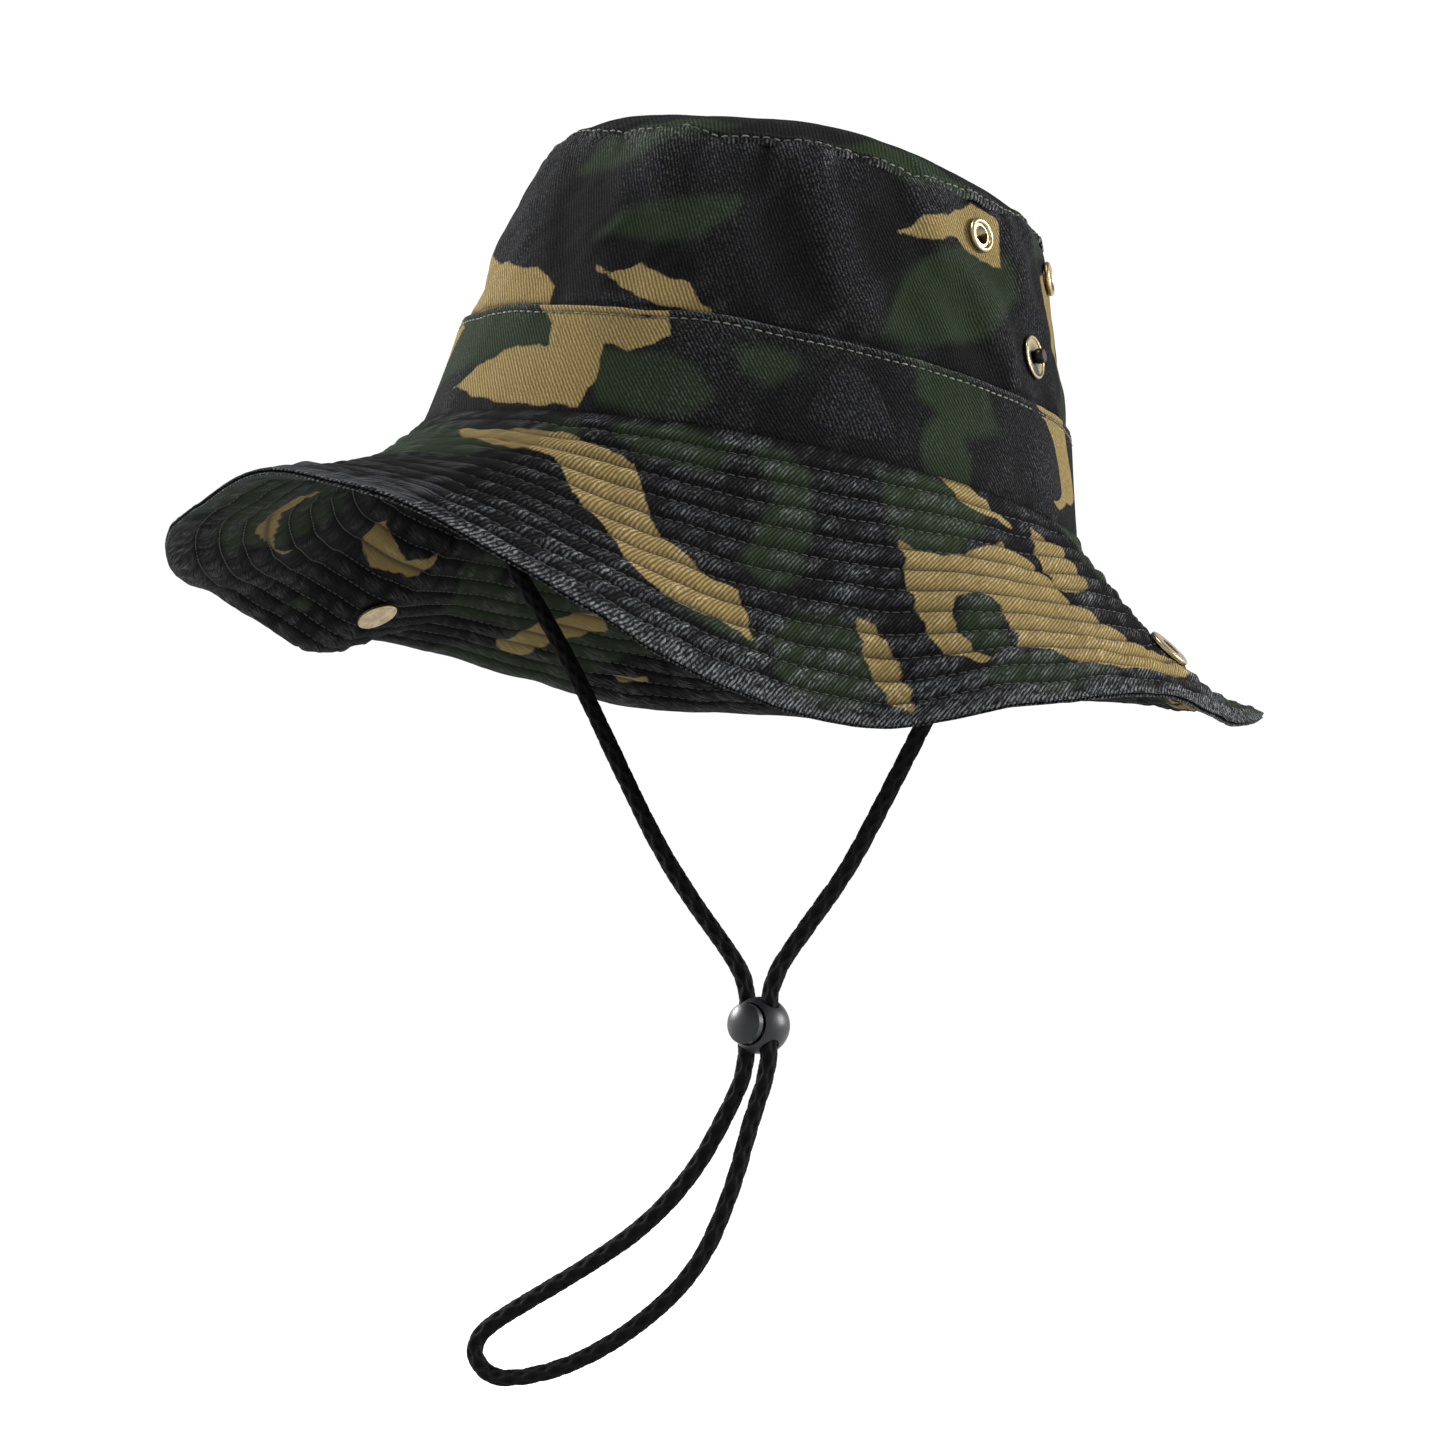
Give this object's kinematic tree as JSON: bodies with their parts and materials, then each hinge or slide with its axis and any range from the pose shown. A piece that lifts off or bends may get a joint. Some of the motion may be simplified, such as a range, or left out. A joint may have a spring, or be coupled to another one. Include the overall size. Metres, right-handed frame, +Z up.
{
  "type": "boonie hat",
  "caption": "Soft camouflage bucket-crowned sun hat with a quilted brim that snaps up at the sides, vent eyelets and a chin cord with a sliding lock.",
  "frame": {"origin": "centre of the head opening, at the height where the crown meets the brim", "axes": "+Z up the crown, -Y towards the front of the hat, +X towards the wearer's left"},
  "size_m": [0.2895, 0.3422, 0.3434],
  "materials": {
    "camo_twill": "stonewashed cotton twill, woodland camouflage print",
    "interlining": "non-woven interlining",
    "lining_twill": "dark cotton twill tape",
    "antique_brass": "satin, slightly aged",
    "black_cord": "braided polyester cord",
    "black_plastic": "satin moulded",
    "spring_steel": "bright wire"
  },
  "bodies": {
    "hat": {"crown_top": "camo_twill", "crown_side": "camo_twill", "crown_band": "camo_twill", "brim_front_upper": "camo_twill", "brim_back_upper": "camo_twill", "brim_front_lower": "camo_twill", "brim_back_lower": "camo_twill", "brim_stiffener": "interlining", "shoulder_tape": "lining_twill", "sweatband": "lining_twill", "cord_tab_left": "lining_twill", "cord_tab_right": "lining_twill", "left_stud": "antique_brass", "right_stud": "antique_brass", "left_stud_cap": "antique_brass", "right_stud_cap": "antique_brass", "eyelet_left_front": "antique_brass", "eyelet_left_back": "antique_brass", "eyelet_right_front": "antique_brass", "eyelet_right_back": "antique_brass", "eyelet_washer_left_front": "antique_brass", "eyelet_washer_left_back": "antique_brass", "eyelet_washer_right_front": "antique_brass", "eyelet_washer_right_back": "antique_brass"},
    "left_brim_flap": {"left_flap_upper": "camo_twill", "left_flap_lower": "camo_twill", "left_flap_stiffener": "interlining", "left_snap_socket": "antique_brass", "left_snap_cap": "antique_brass"},
    "right_brim_flap": {"right_flap_upper": "camo_twill", "right_flap_lower": "camo_twill", "right_flap_stiffener": "interlining", "right_snap_socket": "antique_brass", "right_snap_cap": "antique_brass"},
    "chin_cord": {"cord_strand_left": "black_cord", "cord_strand_right": "black_cord"},
    "cord_lock": {"lock_body": "black_plastic", "lock_spring": "spring_steel", "cord_loop": "black_cord"},
    "lock_button": {"lock_button": "black_plastic"}
  },
  "joints": [
    {"name": "left_flap_fold", "type": "hinge", "parent": "hat", "child": "left_brim_flap", "pos_m": [0.08826, 0, -0.00224], "axis": [0, -1, 0], "range_deg": [0, 136]},
    {"name": "right_flap_fold", "type": "hinge", "parent": "hat", "child": "right_brim_flap", "pos_m": [-0.08737, 0, -0.00276], "axis": [0, 1, 0], "range_deg": [0, 138]},
    {"name": "chin_cord_swing", "type": "hinge", "parent": "hat", "child": "chin_cord", "pos_m": [0, 0, 0.0035], "axis": [1, 0, 0], "range_deg": [-45, 45]},
    {"name": "cord_lock_slide", "type": "slide", "parent": "chin_cord", "child": "cord_lock", "axis": [-0.1513, 0, 0.9885], "range_m": [-0.03, 0.05], "deforming": ["cord_strand_left", "cord_strand_right"]},
    {"name": "lock_button_press", "type": "slide", "parent": "cord_lock", "child": "lock_button", "axis": [0.2055, 0.9781, 0.0314], "range_m": [0, 0.0022], "stiffness_N_per_m": 400, "springref_m": -0.002, "deforming": ["lock_spring"]}
  ]
}
